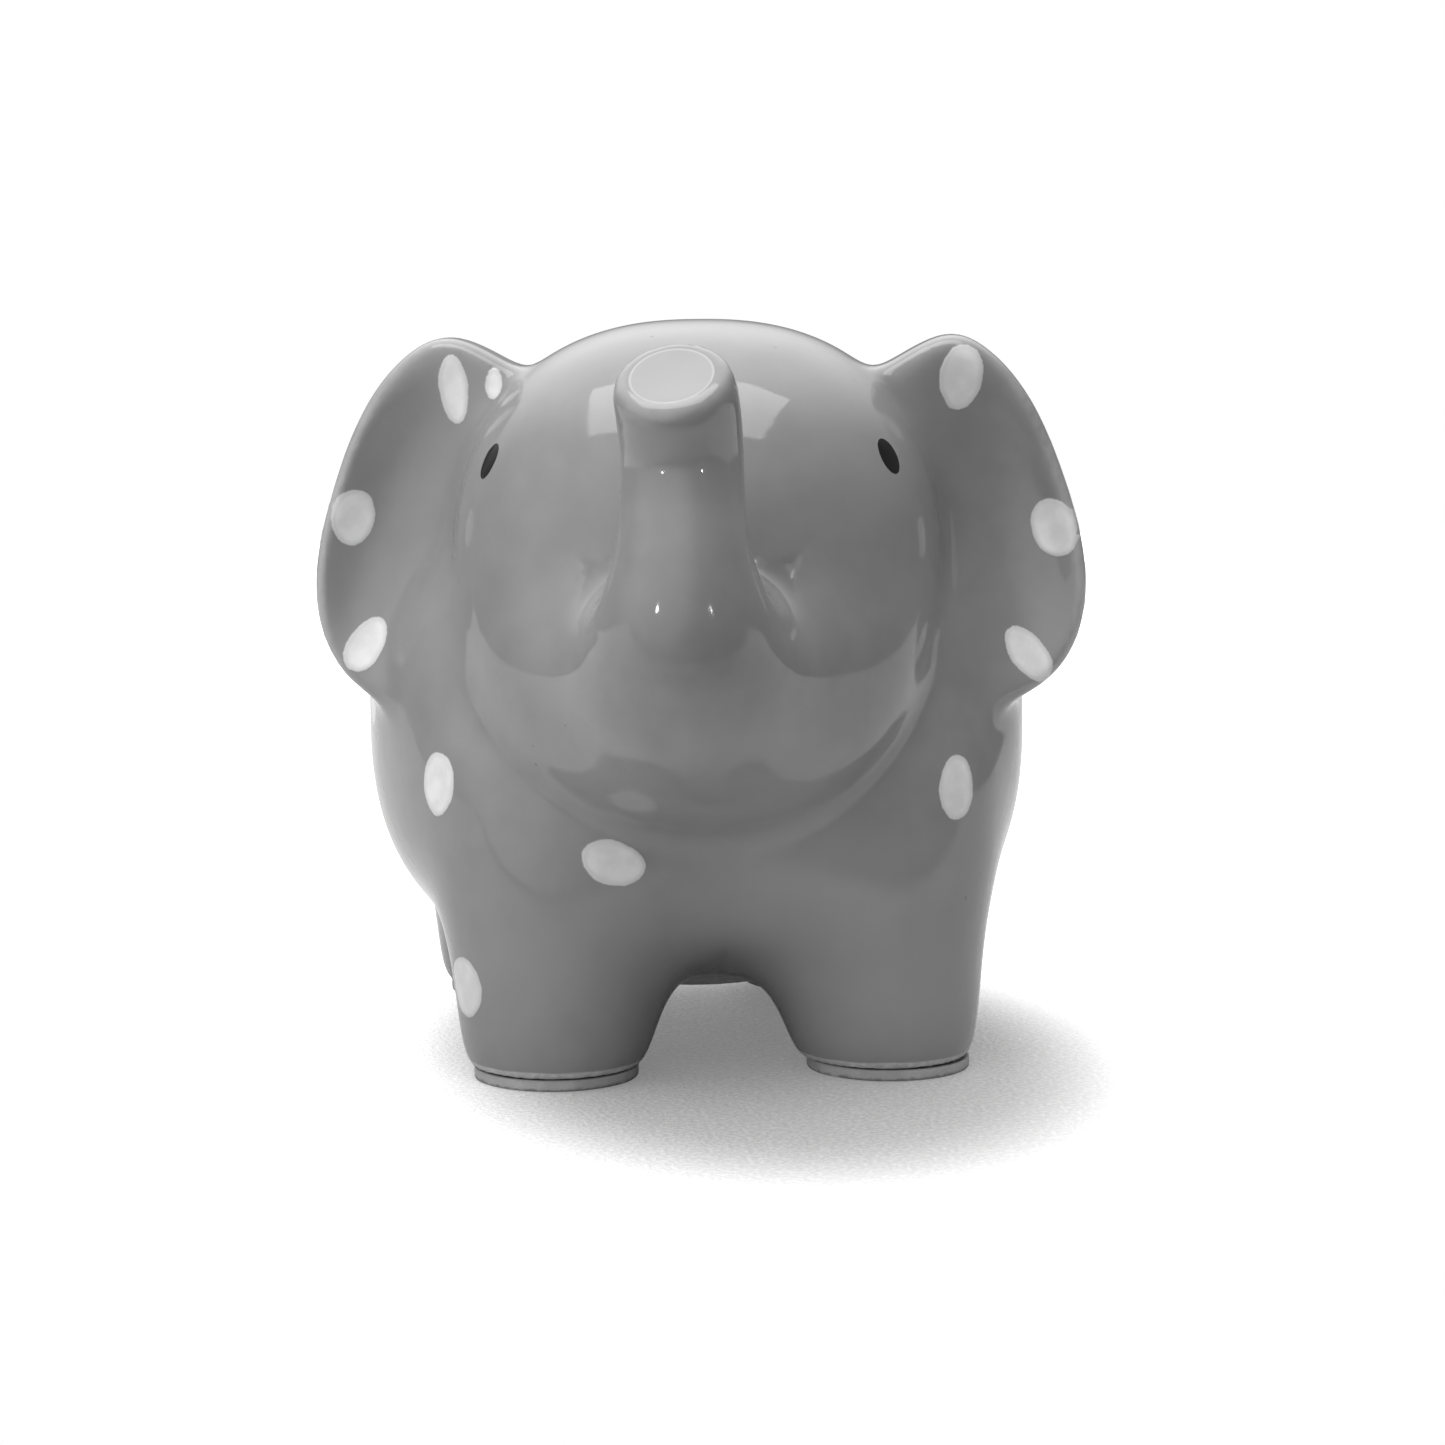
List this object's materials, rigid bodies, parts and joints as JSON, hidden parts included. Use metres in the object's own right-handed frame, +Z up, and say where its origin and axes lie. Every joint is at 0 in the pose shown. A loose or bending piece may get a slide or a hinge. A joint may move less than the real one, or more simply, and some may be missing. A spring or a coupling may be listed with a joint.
{
  "type": "coin bank",
  "caption": "Chubby ceramic elephant coin bank with a raised trunk, painted dots, a coin slot in its back and a rubber stopper in its belly.",
  "frame": {"origin": "on the floor, under the middle of the bounding box", "axes": "the elephant faces -Y, its left side is +X, +Z is up"},
  "size_m": [0.1383, 0.1728, 0.1348],
  "materials": {
    "glaze": "glossy mid-grey glaze over fired earthenware, with hand-painted white dots and black eyes",
    "stopper_rubber": "translucent matt moulded soft plastic",
    "pad_foam": "pale grey closed-cell foam sheet with cut edges",
    "adhesive": "thin dark line of tacky adhesive"
  },
  "bodies": {
    "bank": {"ceramic_body": "glaze", "trunk": "glaze", "left_ear": "glaze", "right_ear": "glaze", "tail": "glaze", "foot_pad_front_left": "pad_foam", "foot_pad_front_right": "pad_foam", "foot_pad_rear_left": "pad_foam", "foot_pad_rear_right": "pad_foam", "pad_adhesive_front_left": "adhesive", "pad_adhesive_front_right": "adhesive", "pad_adhesive_rear_left": "adhesive", "pad_adhesive_rear_right": "adhesive"},
    "stopper": {"stopper": "stopper_rubber"}
  },
  "joints": [
    {"name": "stopper_pull", "type": "slide", "parent": "bank", "child": "stopper", "axis": [0, 0, -1], "range_m": [0, 0.009]}
  ]
}
